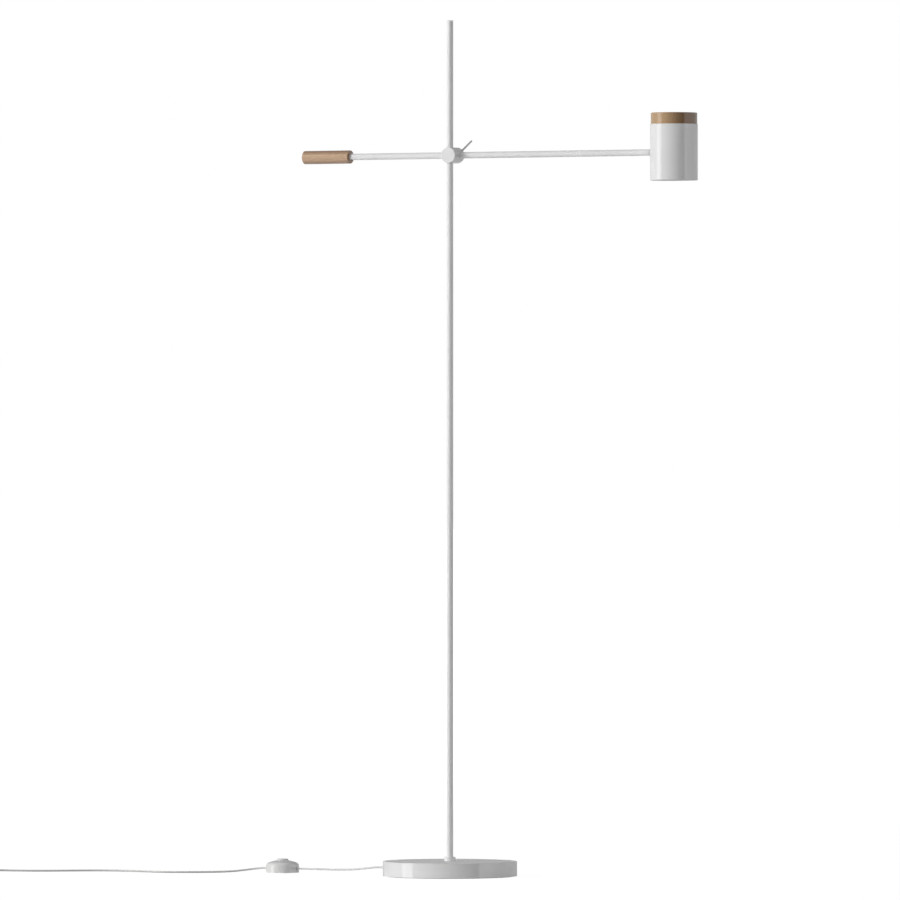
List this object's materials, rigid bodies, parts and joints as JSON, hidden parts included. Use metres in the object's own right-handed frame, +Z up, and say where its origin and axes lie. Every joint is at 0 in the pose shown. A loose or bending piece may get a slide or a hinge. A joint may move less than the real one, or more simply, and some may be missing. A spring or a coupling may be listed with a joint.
{
  "type": "adjustable arm floor lamp",
  "caption": "Slim floor lamp: round weighted base, pole, and a clamp holding a sliding, tilting arm with a cylindrical wood-capped shade and a wooden counterweight; corded foot switch.",
  "frame": {"origin": "on the floor, under the pole's axis, at the middle of the base's foot pad", "axes": "+Z up along the pole, +X along the arm to the head, +Y from the pole to the arm beside it"},
  "size_m": [1.5509, 0.4262, 1.6],
  "materials": {
    "white_steel": "white satin paint on steel",
    "white_shade": "white satin paint on spun aluminium",
    "oak": "light wood, clear matt lacquer",
    "steel": "plain machined steel",
    "ballast_iron": "black cast disc",
    "bare_aluminium": "plain aluminium",
    "pad_rubber": "black foot pad",
    "white_plastic": "white moulded plastic, semi-gloss",
    "white_cord": "white cord sheath",
    "nylon": "natural nylon",
    "opal": "opal diffuser sheet",
    "board_green": "circuit board",
    "pin_nickel": "plated contact pins"
  },
  "bodies": {
    "base": {"base_pad": "pad_rubber", "base_ballast": "ballast_iron", "base_spacer": "nylon", "base_cover": "white_steel", "base_grommet": "white_plastic", "pole_collar": "white_steel", "pole_tube": "white_steel", "pole_cap": "white_steel", "pole_plug": "steel", "pole_washer": "steel", "pole_screw": "steel", "pole_lead": "white_cord", "switch_cover": "white_plastic", "switch_plate": "white_plastic", "switch_feet": "pad_rubber", "switch_screws": "steel", "switch_core": "nylon", "switch_spring": "steel", "cord_base_run": "white_cord", "cord_floor_run": "white_cord", "cord_coil": "white_cord", "cord_tie": "white_plastic", "cord_last_run": "white_cord", "adapter_relief": "white_plastic", "adapter_shell": "white_plastic", "adapter_face": "white_plastic", "plug_pins": "pin_nickel", "driver_board": "board_green"},
    "slider": {"pole_bush": "nylon"},
    "clamp": {"clamp_front": "white_steel", "friction_washer": "nylon", "swivel_screw": "steel", "pressure_pin": "steel"},
    "arm_holder": {"clamp_rear": "white_steel", "arm_pad": "nylon"},
    "lever": {"lever_hub": "white_steel", "lever_rod": "white_steel"},
    "arm": {"arm_tube": "white_steel", "arm_lead": "white_cord", "counterweight_sleeve": "oak", "counterweight_core": "steel", "counterweight_screw": "steel", "counterweight_plug": "oak", "pivot_neck": "white_steel", "pivot_washer": "steel", "pivot_nut": "steel"},
    "head": {"shade": "white_shade", "wood_cap": "oak", "cap_screws": "steel", "heat_sink": "bare_aluminium", "sink_screws": "steel", "light_board": "board_green", "reflector": "bare_aluminium", "diffuser": "opal", "diffuser_ring": "white_shade", "pivot_saddle": "steel", "head_lead": "white_cord"},
    "button": {"switch_button": "white_plastic"}
  },
  "joints": [
    {"name": "height_slide", "type": "slide", "parent": "base", "child": "slider", "axis": [0, 0, 1], "range_m": [-0.5, 0.225]},
    {"name": "clamp_swivel", "type": "hinge", "parent": "slider", "child": "clamp", "pos_m": [0, 0, 1.348], "axis": [0, 0, 1], "range_deg": [-170, 170]},
    {"name": "arm_tilt", "type": "hinge", "parent": "clamp", "child": "arm_holder", "pos_m": [0, 0, 1.348], "axis": [0, 1, 0], "range_deg": [-50, 50]},
    {"name": "arm_slide", "type": "slide", "parent": "arm_holder", "child": "arm", "axis": [1, 0, 0], "range_m": [-0.2, 0.18]},
    {"name": "head_turn", "type": "hinge", "parent": "arm", "child": "head", "pos_m": [0.469, 0.0165, 1.348], "axis": [1, 0, 0], "range_deg": [-90, 90]},
    {"name": "lever_turn", "type": "hinge", "parent": "arm_holder", "child": "lever", "pos_m": [0, 0.027, 1.348], "axis": [0, 1, 0], "range_deg": [0, 80]},
    {"name": "button_press", "type": "slide", "parent": "base", "child": "button", "axis": [0, 0, -1], "range_m": [0, 0.0025], "stiffness_N_per_m": 500, "springref_m": -0.002, "deforming": ["switch_spring"]}
  ]
}
